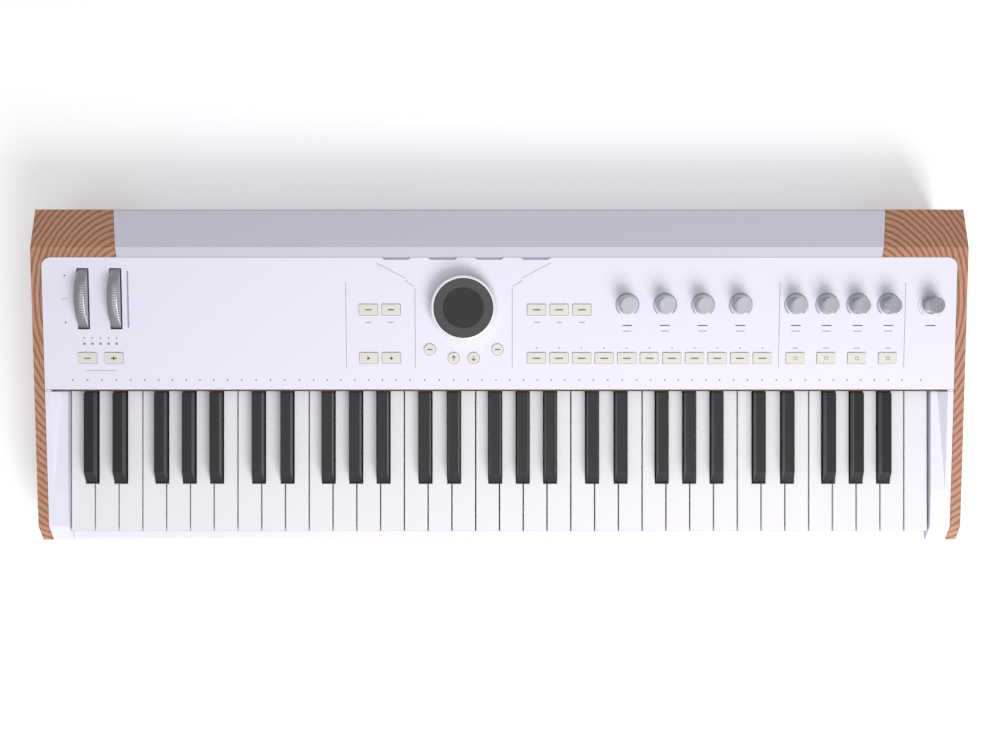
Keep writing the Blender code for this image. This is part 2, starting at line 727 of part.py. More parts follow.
def rear_cover():
    """The grey slope behind the panel and the back wall, with the socket holes."""
    edge_y, edge_z = panel_point(PANEL_LENGTH, 0)
    band_y, ridge_y = REAR_Y - SLOPE_DEPTH - BAND_DEPTH, REAR_Y - SLOPE_DEPTH
    ridge_z = ridge_height()
    low_z = ridge_z - SLOPE_DROP
    fall = SLOPE_DROP / SLOPE_DEPTH
    ledge_y = edge_y - LEDGE
    under = -PANEL_WALL - SEAT
    side = [
        (band_y, ridge_z - BAND_RISE), (ridge_y, ridge_z),
        (REAR_Y - COVER_ROUND, low_z + COVER_ROUND * fall), (REAR_Y, low_z - COVER_ROUND),
        (REAR_Y, FLOOR_Z + SEAT), (REAR_Y - WALL, FLOOR_Z + SEAT),
        (REAR_Y - WALL, low_z + WALL * fall - WALL), (ridge_y, ridge_z - WALL),
        (band_y + WALL, ridge_z - 2 * WALL - BAND_RISE),
        (ledge_y, slope_z(ledge_y, under) - WALL), (ledge_y, slope_z(ledge_y, under)),
        (band_y, slope_z(band_y, under)),
    ]
    rings = []
    for sign in (-1, 1):
        ring = []
        for y, z in side:
            along = (y - band_y) / (REAR_Y - band_y)
            half = COVER_HALF_FRONT + COVER_SLANT * along
            ring.append((sign * half, y, z))
        rings.append(ring)
    cover = stack(rings)
    holes = []
    y0, y1 = REAR_Y - 2 * WALL, REAR_Y + WALL
    for kind, x in SOCKET_ROW:
        if kind == "usb":
            half_w, half_h = USB_WIDTH / 2 + WALL_HOLE_GAP, USB_HEIGHT / 2 + WALL_HOLE_GAP
            holes.append(box(x - half_w, x + half_w, y0, y1, SOCKET_AXIS_Z - half_h, SOCKET_AXIS_Z + half_h))
        else:
            holes.append(bore(socket_radius(kind) + WALL_HOLE_GAP, x, y0, y1, SOCKET_AXIS_Z))
    return carve(cover, holes)


def socket_radius(kind):
    """Bore radius of a round socket."""
    return {"power": POWER_RADIUS, "jack": JACK_RADIUS, "din": DIN_RADIUS}[kind]


def main_board_ends():
    """Left and right edge of the main board."""
    places = [x for _, x in SOCKET_ROW]
    return min(places) - 2 * SOCKET_MARGIN, max(places) + 2 * SOCKET_MARGIN


def main_board_front():
    """World y of the main board's front edge."""
    return REAR_Y - WALL - SEAT - MAIN_BOARD_DEPTH


def main_board():
    """The board at the rear with its row of sockets, each a block with a blind bore."""
    first, last = main_board_ends()
    face_y = REAR_Y - WALL - SEAT
    board = box(first, last, main_board_front(), face_y - COMB_GAP, MAIN_BOARD_Z, MAIN_BOARD_Z + BOARD_WALL)
    blocks, bores = [], []
    low = MAIN_BOARD_Z + BITE
    for kind, x in SOCKET_ROW:
        if kind == "usb":
            half_w, half_h, depth = USB_WIDTH / 2, USB_HEIGHT / 2, SOCKET_DEPTH - SOCKET_FLOOR
            bores.append(box(x - half_w, x + half_w, face_y - depth, face_y + WALL,
                             SOCKET_AXIS_Z - half_h, SOCKET_AXIS_Z + half_h))
        else:
            half_w = half_h = socket_radius(kind)
            depth = DIN_DEPTH if kind == "din" else SOCKET_DEPTH - SOCKET_FLOOR
            bores.append(bore(half_w, x, face_y - depth, face_y + WALL, SOCKET_AXIS_Z))
        blocks.append(box(x - half_w - SOCKET_WALL, x + half_w + SOCKET_WALL, face_y - SOCKET_DEPTH, face_y,
                          low, SOCKET_AXIS_Z + half_h + SOCKET_WALL))
    return carve(fuse(board, blocks), bores)


def key_frame():
    """The steel chassis: base plate, hinge rail, stop rail and the two ribs of the contacts."""
    half = KEYBED_HALF - FRAME_INSET
    stop_y = KEY_FRONT_Y + STOP_SETBACK
    stop_z = WHITE_BOTTOM - (HINGE_Y - stop_y) * math.sin(KEY_ANGLE) - STOP_GAP
    low = FRAME_FLOOR + BITE
    rib_z = CONTACT_BOARD_Z - SEAT
    plate = box(-half, half, stop_y - BOSS, HINGE_Y + SEAT + RAIL_WALL, FRAME_FLOOR, FRAME_FLOOR + FRAME_WALL)
    rail = box(-half + BITE, half - BITE, HINGE_Y + SEAT, HINGE_Y + SEAT + RAIL_WALL - BITE, low,
               HIGH_BAR_Z + BAR_HEIGHT + BITE)
    stop = box(-half + BITE, half - BITE, stop_y, stop_y + RAIL_WALL, low, stop_z)
    ribs = []
    for y in (CONTACT_FRONT_Y + BOSS / 2, CONTACT_FRONT_Y + CONTACT_WIDTH - BOSS):
        ribs.append(box(-half + BITE, half - BITE, y, y + FRAME_WALL, low, rib_z))
    return fuse(plate, [rail, stop] + ribs)


def contact_board():
    """The board under the keys with its rubber contact strips."""
    half = KEYBED_HALF - FRAME_INSET
    rear_y = CONTACT_FRONT_Y + CONTACT_WIDTH
    top = CONTACT_BOARD_Z + BOARD_WALL
    board = box(-half, half, CONTACT_FRONT_Y, rear_y, CONTACT_BOARD_Z, top)
    strips = []
    for y in (CONTACT_FRONT_Y + BOSS, rear_y - 2 * BOSS):
        side = [(y, top - BITE), (y + BOSS, top - BITE), (y + BOSS * 0.75, CONTACT_TOP_Z),
                (y + BOSS * 0.25, CONTACT_TOP_Z)]
        strips.append(slab(side, -half + BITE, half - BITE))
    return fuse(board, strips)


def sound_places():
    """Centres of the row of sound buttons, from left to right."""
    last = PANEL_HALF - SOUND_INSET
    return [(last - (SOUNDS - 1 - i) * SOUND_PITCH, LOW_ROW) for i in range(SOUNDS)]


def part_places():
    """Centres of the part buttons, above the first sound buttons."""
    return [(u, HIGH_ROW) for u, _ in sound_places()[:PARTS]]


def effect_places(row):
    """Centres of the effect buttons or knobs in a row."""
    last = PANEL_HALF - EFFECT_INSET
    return [(last - (EFFECTS - 1 - i) * EFFECT_PITCH, row) for i in range(EFFECTS)]


def single_buttons():
    """Name, centre and shape of each button that stands alone."""
    left = DIAL_U - TRANSPORT_FROM_DIAL
    right = left + SOUND_PITCH
    octave_u = -PANEL_HALF + OCTAVE_BUTTON_INSET
    return {
        "octave_down_button": (octave_u, LOW_ROW, False),
        "octave_up_button": (octave_u + OCTAVE_BUTTON_PITCH, LOW_ROW, False),
        "arpeggio_button": (left, HIGH_ROW, False),
        "chord_button": (right, HIGH_ROW, False),
        "play_button": (left, LOW_ROW, False),
        "metronome_button": (right, LOW_ROW, False),
        "back_button": (DIAL_U - NAV_OUTER, NAV_ROW, True),
        "up_button": (DIAL_U - NAV_INNER, LOW_ROW, True),
        "down_button": (DIAL_U + NAV_INNER, LOW_ROW, True),
        "shift_button": (DIAL_U + NAV_OUTER, NAV_ROW, True),
    }


def knob_places():
    """Name and centre of each knob."""
    last = PANEL_HALF - MACRO_INSET
    places = {}
    for i in range(MACROS):
        places[f"macro_knob_{i + 1}"] = (last - (MACROS - 1 - i) * MACRO_PITCH, KNOB_ROW)
    for i, (u, v) in enumerate(effect_places(KNOB_ROW)):
        places[f"effect_knob_{i + 1}"] = (u, v)
    places["volume_knob"] = (MASTER_U, KNOB_ROW)
    return places


def button_outline(u, v, is_round, margin=0.0):
    """Plan of a button's cap, or of its hole or flange when a margin is given."""
    if is_round:
        return circle(u, v, ROUND_BUTTON_RADIUS + margin, 20)
    return rounded(u, v, BUTTON_WIDTH + 2 * margin, BUTTON_DEPTH + 2 * margin, BUTTON_CORNER + margin / 2)


def flange_levels():
    """Low and high w of the flange that keeps a button under the panel."""
    high = -PANEL_WALL - SEAT
    return high - FLANGE_WALL, high


def button(u, v, is_round):
    """One button: a cap through the panel and a flange under it."""
    low, high = flange_levels()
    cap = prism(button_outline(u, v, is_round), low + BITE, BUTTON_RISE)
    flange = prism(button_outline(u, v, is_round, FLANGE_LIP), low, high)
    return fuse(flange, [cap])


def button_row(places):
    """Buttons moulded on one web, as a keypad strip is."""
    low, high = flange_levels()
    first, last = places[0], places[-1]
    web = rounded((first[0] + last[0]) / 2, first[1], last[0] - first[0] + BUTTON_WIDTH + 2 * FLANGE_LIP,
                  BUTTON_DEPTH + 2 * FLANGE_LIP, BUTTON_CORNER)
    caps = [prism(button_outline(u, v, False), low + BITE, BUTTON_RISE) for u, v in places]
    return fuse(prism(web, low, high), caps)


def knob(u, v):
    """A turned knob: stem, skirt, straight grip and a dished top."""
    profile = [
        (0, -PANEL_WALL - SEAT), (STEM_RADIUS, -PANEL_WALL - SEAT), (STEM_RADIUS, KNOB_LIFT),
        (KNOB_SKIRT, KNOB_LIFT), (KNOB_SKIRT, KNOB_LIFT + KNOB_SKIRT_HEIGHT),
        (KNOB_RADIUS, KNOB_LIFT + 2 * KNOB_SKIRT_HEIGHT), (KNOB_RADIUS, KNOB_HEIGHT - 2 * KNOB_DISH),
        (KNOB_RADIUS - 2 * KNOB_DISH, KNOB_HEIGHT), (0, KNOB_HEIGHT - KNOB_DISH),
    ]
    return turned(profile, 20, u, v)


def encoder_ring():
    """The pearl ring round the display."""
    inner, outer = RING_RADIUS - RING_WALL, RING_RADIUS
    low, high = KNOB_LIFT + DIAL_TRAVEL, RING_HEIGHT
    soft = RING_WALL / 4
    ring = ring_solid([
        (inner, low), (outer, low), (outer, high - 2 * soft), (outer - soft, high - soft / 2),
        (outer - 2 * soft, high), (inner + soft / 2, high), (inner, high - soft / 2),
    ], 48)
    ring.transform(Matrix.Translation((DIAL_U, DIAL_ROW, 0)))
    return ring


def display():
    """The round display: a glass disc on the barrel that the ring turns on."""
    high = RING_HEIGHT - GLASS_RECESS
    low = -PANEL_BOARD_DROP + SEAT + DIAL_TRAVEL
    return turned([(0, low), (GLASS_RADIUS, low), (GLASS_RADIUS, high - SEAT),
                   (GLASS_RADIUS - SEAT, high), (0, high)], 48, DIAL_U, DIAL_ROW)


def panel_outline():
    """The panel's plan: rounded rear corners and the notches of a music rest."""
    corner = PANEL_CORNER
    points = [(-PANEL_HALF, 0), (PANEL_HALF, 0)]
    points += arc(PANEL_HALF - corner, PANEL_LENGTH - corner, corner, 0, 90, 6)
    half = REST_NOTCH_WIDTH / 2
    for i in reversed(range(REST_NOTCHES)):
        centre = DIAL_U + REST_NOTCH_FLARE + 1.5 * REST_NOTCH_PITCH - (REST_NOTCHES - 1 - i) * REST_NOTCH_PITCH
        floor_v = PANEL_LENGTH - REST_NOTCH_DEPTH
        points += [(centre + half + REST_NOTCH_FLARE / 2, PANEL_LENGTH), (centre + half - REST_NOTCH_FLARE / 2, floor_v),
                   (centre - half + REST_NOTCH_FLARE / 2, floor_v), (centre - half - REST_NOTCH_FLARE / 2, PANEL_LENGTH)]
    points += arc(-PANEL_HALF + corner, PANEL_LENGTH - corner, corner, 90, 180, 6)
    return points


def panel_cutters():
    """The slots and holes of the panel."""
    low, high = -3 * PANEL_WALL, 3 * PANEL_WALL
    cutters = []
    for u in (PITCH_U, MOD_U):
        slot = rounded(u, WHEEL_ROW, 2 * SLOT_HALF_WIDTH, 2 * SLOT_HALF, BUTTON_CORNER)
        cutters.append(prism(slot, low, high))
    for u, v, is_round in single_buttons().values():
        cutters.append(prism(button_outline(u, v, is_round, BUTTON_GAP), low, high))
    for u, v in sound_places() + part_places() + effect_places(LOW_ROW):
        cutters.append(prism(button_outline(u, v, False, BUTTON_GAP), low, high))
    for u, v in knob_places().values():
        cutters.append(prism(circle(u, v, STEM_RADIUS + STEM_GAP, 16), low, high))
    cutters.append(prism(circle(DIAL_U, DIAL_ROW, GLASS_RADIUS + SEAT, 48), low, high))
    return cutters


def top_panel():
    """The control panel with its front lip and the bosses that carry the panel board."""
    plate = prism(panel_outline(), -PANEL_WALL, 0)
    lip = box(-PANEL_HALF + CHEEK_RIM, PANEL_HALF - CHEEK_RIM, 0, PANEL_LIP_WALL,
              -PANEL_WALL - PANEL_LIP_DROP, -BITE)
    bosses = []
    for u in (DIAL_U - 2 * BOSS - TRANSPORT_FROM_DIAL, DIAL_U + NAV_OUTER + 1.5 * BOSS, MASTER_U - 2 * BOSS):
        for v in (PANEL_BOARD_FRONT + BOSS / 2 + HIGH_ROW / 3, PANEL_BOARD_REAR - BOSS / 2):
            bosses.append(prism(circle(u, v, BOSS / 2, 12), -PANEL_BOARD_DROP + SEAT, -BITE))
    return carve(fuse(plate, [lip] + bosses), panel_cutters())


def felt_strip():
    """The thin felt under the panel's front edge, over the keys."""
    half = PANEL_HALF - FELT_INSET
    return box(-half, half, -FELT_DEPTH - SEAT, -SEAT, -PANEL_WALL - PANEL_LIP_DROP, -PANEL_WALL + BITE)


def panel_board():
    """The board under the panel with a switch for each button and a pot for each knob."""
    top = -PANEL_BOARD_DROP
    left = DIAL_U - TRANSPORT_FROM_DIAL - 4 * BOSS
    right = PANEL_HALF - PANEL_BOARD_INSET
    tab_left = -PANEL_HALF + OCTAVE_BUTTON_INSET - BUTTON_WIDTH / 2 - 2 * FLANGE_LIP
    tab_rear = PANEL_BOARD_FRONT + PANEL_BOARD_TAB
    board = prism([
        (tab_left, PANEL_BOARD_FRONT), (right, PANEL_BOARD_FRONT), (right, PANEL_BOARD_REAR),
        (left, PANEL_BOARD_REAR), (left, tab_rear), (tab_left, tab_rear),
    ], top - BOARD_WALL, top)
    parts = []
    half = SWITCH_SIZE / 2
    centres = [(u, v) for u, v, _ in single_buttons().values()]
    for u, v in centres + sound_places() + part_places() + effect_places(LOW_ROW):
        parts.append(box(u - half, u + half, v - half, v + half, top - BITE, top + SWITCH_HEIGHT))
    half = POT_SIZE / 2
    for u, v in knob_places().values():
        parts.append(box(u - half, u + half, v - half, v + half, top - BITE, -PANEL_WALL - 2 * SEAT))
    return fuse(board, parts)


def wheel(u, scoop_angle):
    """A wheel on its axle, with a finger scoop in its rim, turned to its place at rest."""
    rim = circle(0, 0, WHEEL_RADIUS, 60)
    disc = slab(rim, -WHEEL_WIDTH / 2, WHEEL_WIDTH / 2)
    scoop_z = WHEEL_RADIUS + WHEEL_SCOOP_RADIUS - WHEEL_SCOOP_DEPTH
    scoop = rod(WHEEL_SCOOP_RADIUS, -WHEEL_WIDTH, WHEEL_WIDTH, 0, scoop_z, 40)
    reach = WHEEL_WIDTH / 2 + WHEEL_SIDE_GAP + BRACKET_WALL + BITE
    disc = fuse(carve(disc, [scoop]), [rod(AXLE_RADIUS, -reach, reach, 0, 0)])
    disc.transform(Matrix.Rotation(-scoop_angle, 4, "X"))
    disc.transform(Matrix.Translation((u, WHEEL_ROW, -WHEEL_DEPTH)))
    return disc


def wheel_bracket():
    """The steel bracket under the panel that holds both wheels' axles."""
    high = -PANEL_WALL - SEAT
    low = -WHEEL_DEPTH - BRACKET_DROP
    side = WHEEL_WIDTH / 2 + WHEEL_SIDE_GAP
    left, right = PITCH_U - side - BRACKET_WALL, MOD_U + side + BRACKET_WALL
    reach = math.sqrt(WHEEL_RADIUS ** 2 - (WHEEL_DEPTH + high - BRACKET_WALL) ** 2) + WHEEL_END_GAP
    half = reach + BOSS / 4
    flange = box(left, right, WHEEL_ROW - half, WHEEL_ROW + half - BITE, high - BRACKET_WALL, high)
    plates = []
    for u in (left, PITCH_U + side, MOD_U - side - BRACKET_WALL, right - BRACKET_WALL):
        plates.append(box(u, u + BRACKET_WALL, WHEEL_ROW - 2 * BOSS, WHEEL_ROW + 2 * BOSS,
                          low, high - BRACKET_WALL + BITE))
    cutters = []
    for u in (PITCH_U, MOD_U):
        cutters.append(box(u - side, u + side, WHEEL_ROW - reach, WHEEL_ROW + reach,
                           high - 2 * BRACKET_WALL, high + WALL))
    hole = rod(AXLE_RADIUS + SEAT, left - WALL, right + WALL, WHEEL_ROW, -WHEEL_DEPTH)
    return carve(fuse(flange, plates), cutters + [hole])


def build_case():
    """Everything that stands still outside the panel's plane."""
    place("bottom_case", bottom_case(), WHITE_PAINT)
    place("rear_cover", rear_cover(), WHITE_PAINT)
    place("front_rail", front_rail(), WHITE_PAINT)
    wood = wooden_end()
    place("wood_end_left", mirrored(wood), WALNUT)
    place("wood_end_right", wood, WALNUT)
    cheek = cheek_block()
    place("cheek_left", mirrored(cheek), WHITE_PAINT)
    place("cheek_right", cheek, WHITE_PAINT)
    place("key_frame", key_frame(), STEEL)
    place("contact_board", contact_board(), GREEN_BOARD)
    place("main_board", main_board(), GREEN_BOARD)
    mesh = foot()
    x, y = PANEL_HALF - FOOT_INSET, REAR_Y - FOOT_INSET
    for name, sx, sy in (("front_left", -1, -1), ("front_right", 1, -1), ("rear_left", -1, 1), ("rear_right", 1, 1)):
        add_copy(f"foot_{name}", mesh, RUBBER, None, (sx * x, sy * y, 0))


def build_panel():
    """Everything that is placed in the panel's tilted plane."""
    plane = bpy.data.objects.new("panel_plane", None)
    plane.location = (0, PANEL_FRONT_Y, PANEL_FRONT_Z)
    plane.rotation_euler = (PANEL_TILT, 0, 0)
    bpy.context.collection.objects.link(plane)
    place("top_panel", top_panel(), WHITE_PAINT, plane)
    place("felt_strip", felt_strip(), FELT, plane)
    place("panel_board", panel_board(), GREEN_BOARD, plane)
    place("wheel_bracket", wheel_bracket(), STEEL, plane)
    for name, u, angle in (("pitch_wheel", PITCH_U, 0), ("mod_wheel", MOD_U, MOD_REST_ANGLE)):
        place(name, wheel(u, angle), TURNED_METAL, plane, (u, WHEEL_ROW, -WHEEL_DEPTH), smooth=True)
    for name, (u, v) in knob_places().items():
        place(name, knob(u, v), TURNED_METAL, plane, (u, v, 0), smooth=True)
    place("display", display(), BLACK_GLASS, plane, (DIAL_U, DIAL_ROW, 0), smooth=True)
    place("encoder_ring", encoder_ring(), WHITE_PAINT, plane, (DIAL_U, DIAL_ROW, 0), smooth=True)
    for name, (u, v, is_round) in single_buttons().items():
        place(name, button(u, v, is_round), WARM_GREY, plane, (u, v, 0))
    place("part_buttons", button_row(part_places()), WARM_GREY, plane)
    place("sound_buttons", button_row(sound_places()), WARM_GREY, plane)
    place("effect_buttons", button_row(effect_places(LOW_ROW)), WARM_GREY, plane)


def main():
    """Build the keyboard."""
    clear_scene()
    build_case()
    build_panel()
    build_keys()


main()
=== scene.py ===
"""Looks of the stage keyboard: finishes, printed marks, small lights, knobs, wheels, screen and stage."""

import logging
import math
from dataclasses import dataclass, field
from enum import Enum

import bpy
from mathutils import Matrix, Vector


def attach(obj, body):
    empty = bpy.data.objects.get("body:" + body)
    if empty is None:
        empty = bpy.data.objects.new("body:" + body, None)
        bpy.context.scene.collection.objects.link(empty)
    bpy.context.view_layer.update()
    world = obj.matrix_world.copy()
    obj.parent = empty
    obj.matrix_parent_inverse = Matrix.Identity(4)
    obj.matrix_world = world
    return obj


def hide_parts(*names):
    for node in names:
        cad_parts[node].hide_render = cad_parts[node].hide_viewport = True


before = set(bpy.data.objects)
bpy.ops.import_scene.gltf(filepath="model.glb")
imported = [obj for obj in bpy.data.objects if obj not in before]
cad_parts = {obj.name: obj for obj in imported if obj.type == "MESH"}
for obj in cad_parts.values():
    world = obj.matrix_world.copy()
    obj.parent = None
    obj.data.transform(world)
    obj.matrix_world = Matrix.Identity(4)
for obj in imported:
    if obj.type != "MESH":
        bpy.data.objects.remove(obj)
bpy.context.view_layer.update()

LOG = logging.getLogger("keyboard")


def spread(first: float, pitch: float, count: int) -> list[float]:
    """Places in an even row, from the first one on."""
    return [first + i * pitch for i in range(count)]


# The panel's own frame: u runs along it, v up its slope and w straight out of it
PANEL_TILT = math.radians(4.65)
PANEL_FRONT_Y = -0.013133
PANEL_FRONT_Z = 0.0824
PANEL = Matrix.Translation((0, PANEL_FRONT_Y, PANEL_FRONT_Z)) @ Matrix.Rotation(PANEL_TILT, 4, "X")
MARK_THICK = 0.00012
SMOOTH_ANGLE = math.radians(35)
# A face looks straight out of the panel where its normal's w is above this
FACES_OUT = 0.9
MM_PER_M = 1000

# The white keys' fronts
WHITE_KEYS = 36
WHITE_PITCH = 0.0235
KEYBED_HALF = WHITE_KEYS * WHITE_PITCH / 2
OCTAVES = 5
OCTAVE_WIDTH = 7 * WHITE_PITCH

# Rows up the panel's slope
KEY_ROW = 0.0092
LOW_ROW = 0.0306
ROUND_ROW = 0.0391
HIGH_ROW = 0.0777
DIAL_ROW = 0.0800
KNOB_ROW = 0.0826

# Places along the panel: arpeggio and play share the first pair's, chord and metronome the second's
OCTAVE_DOWN_U = -0.4010
OCTAVE_UP_U = -0.3753
FIRST_PAIR_U = -0.1271
SECOND_PAIR_U = -0.1051
DIAL_U = -0.0347
SOUND_PLACES = spread(0.0361, 0.022, 11)
PART_PLACES = SOUND_PLACES[:3]
MACRO_PLACES = spread(0.1242, 0.0367, 4)
EFFECT_PLACES = spread(0.2881, 0.030, 4)
LIT_KNOB_PLACES = MACRO_PLACES + EFFECT_PLACES
VOLUME_U = 0.4190


class Paint(Enum):
    """Colours of the finishes, as sRGB hex."""

    WHITE = "e3e0ee"
    # Painted shade: the white lacquer drawn darker for the rear cover's slope, which faces away from the
    # light
    SLOPE = "cfcbd8"
    KEY = "e6e3e8"
    BLACK = "121214"
    WOOD = "bd8a6e"
    WOOD_DARK = "8f6148"
    METAL = "bcbcc0"
    PEARL = "e4e2e6"
    BUTTON = "dcd8ce"
    GREY_INK = "8f8e99"
    DARK_INK = "3a3a42"
    BLUE_LIGHT = "93a0b4"
    GLASS = "0a0b0e"
    SCREEN = "08090d"
    STEEL = "a2a4a8"
    BOARD = "1d5a38"
    FELT = "6a4634"
    RUBBER = "26262a"


def linear(code: str) -> tuple[float, float, float, float]:
    """Turn an sRGB hex value into a linear colour.

    Args:
        code: Six hex digits.

    Returns:
        Linear red, green, blue and alpha.
    """
    parts = [int(code[i:i + 2], 16) / 255 for i in (0, 2, 4)]
    values = [c / 12.92 if c <= 0.04045 else ((c + 0.055) / 1.055) ** 2.4 for c in parts]
    return (values[0], values[1], values[2], 1.0)


def feed(tree: bpy.types.NodeTree, node: bpy.types.Node, inputs: dict[str | int, object]) -> None:
    """Give a node's sockets their values or links.

    Args:
        tree: The node's tree.
        node: The node to feed.
        inputs: Socket name or number to a value or to another node's output.
    """
    for socket, value in inputs.items():
        if isinstance(value, bpy.types.NodeSocket):
            tree.links.new(value, node.inputs[socket])
        else:
            node.inputs[socket].default_value = value


def add_node(tree: bpy.types.NodeTree, kind: str, inputs: dict[str | int, object] | None = None,
             **settings: object) -> bpy.types.Node:
    """Add a node with its settings, values and links.

    Args:
        tree: The material's node tree.
        kind: Blender's node type.
        inputs: Socket name or number to a value or to another node's output.
        settings: Attributes of the node.

    Returns:
        The new node.
    """
    node = tree.nodes.new(kind)
    for name, value in settings.items():
        setattr(node, name, value)
    feed(tree, node, inputs or {})
    return node


def start_material(name: str) -> tuple[bpy.types.Material, bpy.types.NodeTree, bpy.types.Node]:
    """Start a node material.

    Args:
        name: The material's name.

    Returns:
        The material, its node tree and its surface shader.
    """
    made = bpy.data.materials.new(name)
    made.use_nodes = True
    return made, made.node_tree, made.node_tree.nodes["Principled BSDF"]


@dataclass(frozen=True)
class Finish:
    """A moulded, painted or turned surface with fine grain.

    Grain is a noise whose size is in millimetres; it varies colour, roughness and relief.
    """

    name: str
    colour: Paint
    roughness: float = 0.4
    metallic: float = 0.0
    coat: float = 0.0
    grain_mm: float = 1.5
    grain_detail: float = 3.0
    relief: float = 0.05
    relief_depth: float = 0.0002
    tint: float = 0.04
    roughness_spread: float = 0.15

    def material(self) -> bpy.types.Material:
        """Build the node material once, and find it again for each later piece.

        Returns:
            The finish's material.
        """
        known = bpy.data.materials.get(self.name)
        if known:
            return known
        made, tree, shader = start_material(self.name)
        pale = linear(self.colour.value)
        dark = tuple(part * (1 - self.tint) for part in pale[:3]) + (1.0,)
        place = add_node(tree, "ShaderNodeTexCoord")
        grain = add_node(tree, "ShaderNodeTexNoise", {
            "Vector": place.outputs["Object"], "Scale": MM_PER_M / self.grain_mm,
            "Detail": self.grain_detail})
        colour = add_node(tree, "ShaderNodeMix", {
            "Factor": grain.outputs["Fac"], "A": dark, "B": pale}, data_type="RGBA")
        rough = add_node(tree, "ShaderNodeMapRange", {
            "Value": grain.outputs["Fac"],
            "To Min": self.roughness * (1 - self.roughness_spread),
            "To Max": self.roughness * (1 + self.roughness_spread)})
        bump = add_node(tree, "ShaderNodeBump", {
            "Height": grain.outputs["Fac"], "Strength": self.relief, "Distance": self.relief_depth})
        feed(tree, shader, {
            "Metallic": self.metallic, "Coat Weight": self.coat, "Base Color": colour.outputs["Result"],
            "Roughness": rough.outputs["Result"], "Normal": bump.outputs["Normal"]})
        return made


@dataclass(frozen=True)
class WoodFinish:
    """Oiled hardwood: growth rings sweep round each rear corner, with pores along the grain.

    Rings and pores are sized in millimetres, and the shift brings the rings' centre to zero. A wave
    texture of scale 1 draws waves_per_turn rings in tau metres.
    """

    name: str
    shift: tuple[float, float, float]
    ring_mm: float = 5.067
    waves_per_turn: float = 20.0
    ring_stretch: tuple[float, float, float] = (1.0, 0.8, 0.35)
    waver: float = 2.2
    waver_detail: float = 4.0
    waver_scale: float = 1.2
    dark_until: float = 0.05
    pale_from: float = 0.6
    pore_mm: float = 11.111
    pore_narrowing: tuple[float, float, float] = (9.0, 1.0, 6.0)
    pore_detail: float = 5.0
    pore_span: tuple[float, float] = (0.3, 0.7)
    pore_shade: tuple[float, float] = (0.86, 1.08)
    relief: float = 0.15
    relief_depth: float = 0.0003
    roughness: float = 0.5

    def material(self) -> bpy.types.Material:
        """Build the wood, with rings about a far centre and stretched pores.

        Returns:
            The wood's material.
        """
        made, tree, shader = start_material(self.name)
        place = add_node(tree, "ShaderNodeTexCoord")
        rings_at = add_node(tree, "ShaderNodeMapping", {
            "Vector": place.outputs["Object"], "Location": self.shift, "Scale": self.ring_stretch})
        rings = add_node(tree, "ShaderNodeTexWave", {
            "Vector": rings_at.outputs["Vector"],
            "Scale": MM_PER_M / self.ring_mm * math.tau / self.waves_per_turn,
            "Distortion": self.waver, "Detail": self.waver_detail, "Detail Scale": self.waver_scale,
        }, wave_type="RINGS", rings_direction="Z")
        pores_at = add_node(tree, "ShaderNodeMapping", {
            "Vector": place.outputs["Object"], "Scale": self.pore_narrowing})
        pores = add_node(tree, "ShaderNodeTexNoise", {
            "Vector": pores_at.outputs["Vector"], "Scale": MM_PER_M / self.pore_mm,
            "Detail": self.pore_detail})
        ramp = add_node(tree, "ShaderNodeValToRGB", {"Fac": rings.outputs["Fac"]})
        dark, pale = ramp.color_ramp.elements
        dark.color = linear(Paint.WOOD_DARK.value)
        dark.position = self.dark_until
        pale.color = linear(Paint.WOOD.value)
        pale.position = self.pale_from
        shade = add_node(tree, "ShaderNodeMapRange", {
            "Value": pores.outputs["Fac"],
            "From Min": self.pore_span[0], "From Max": self.pore_span[1],
            "To Min": self.pore_shade[0], "To Max": self.pore_shade[1]})
        colour = add_node(tree, "ShaderNodeVectorMath", {
            0: ramp.outputs["Color"], "Scale": shade.outputs["Result"]}, operation="SCALE")
        bump = add_node(tree, "ShaderNodeBump", {
            "Height": pores.outputs["Fac"], "Strength": self.relief, "Distance": self.relief_depth})
        feed(tree, shader, {
            "Base Color": colour.outputs["Vector"], "Roughness": self.roughness,
            "Normal": bump.outputs["Normal"]})
        return made


# Satin lacquer on sheet steel: even and pale, with a very fine orange peel
LACQUER = Finish("satin_white_lacquer", Paint.WHITE, 0.42, grain_mm=1.2, relief=0.04, tint=0.015)
# The same white lacquer on the whole rear cover, drawn greyer as painted shade for its slope, which faces
# away from the light
PAINTED_SHADE_LACQUER = Finish("satin_lacquer_painted_shade", Paint.SLOPE, 0.45, grain_mm=1.2, relief=0.04, tint=0.015)
# Moulded ABS keys: smooth, with a soft sheen and hardly any grain
KEY_ABS = Finish("moulded_white_abs", Paint.KEY, 0.28, coat=0.15, grain_mm=4.0, relief=0.02, tint=0.01)
BLACK_ABS = Finish("moulded_black_abs", Paint.BLACK, 0.3, grain_mm=2.0, relief=0.03, tint=0.1)
# Turned aluminium: bright metal whose sheen is broken by fine tool marks, drawn as grain
TURNED = Finish("turned_aluminium", Paint.METAL, 0.26, 1.0, grain_mm=1.0, relief=0.12, tint=0.12)
# Pearl lacquer on the ring round the display: a clear coat over a faintly metallic white
PEARL = Finish("pearl_lacquered_ring", Paint.PEARL, 0.25, 0.1, coat=0.4, relief=0.02, tint=0.02)
# Moulded silicone: dull and slightly warm, with a fine matt grain
SILICONE = Finish("matt_silicone_buttons", Paint.BUTTON, 0.55, grain_mm=0.6, relief=0.08)
# Galvanised sheet steel: dull metal with broad, uneven spangle
STEEL = Finish("galvanised_steel", Paint.STEEL, 0.45, 1.0, grain_mm=6.0, tint=0.2)
# Solder mask on a circuit board: green with a half gloss
BOARD = Finish("green_solder_mask", Paint.BOARD, 0.45, grain_mm=3.0, tint=0.2)
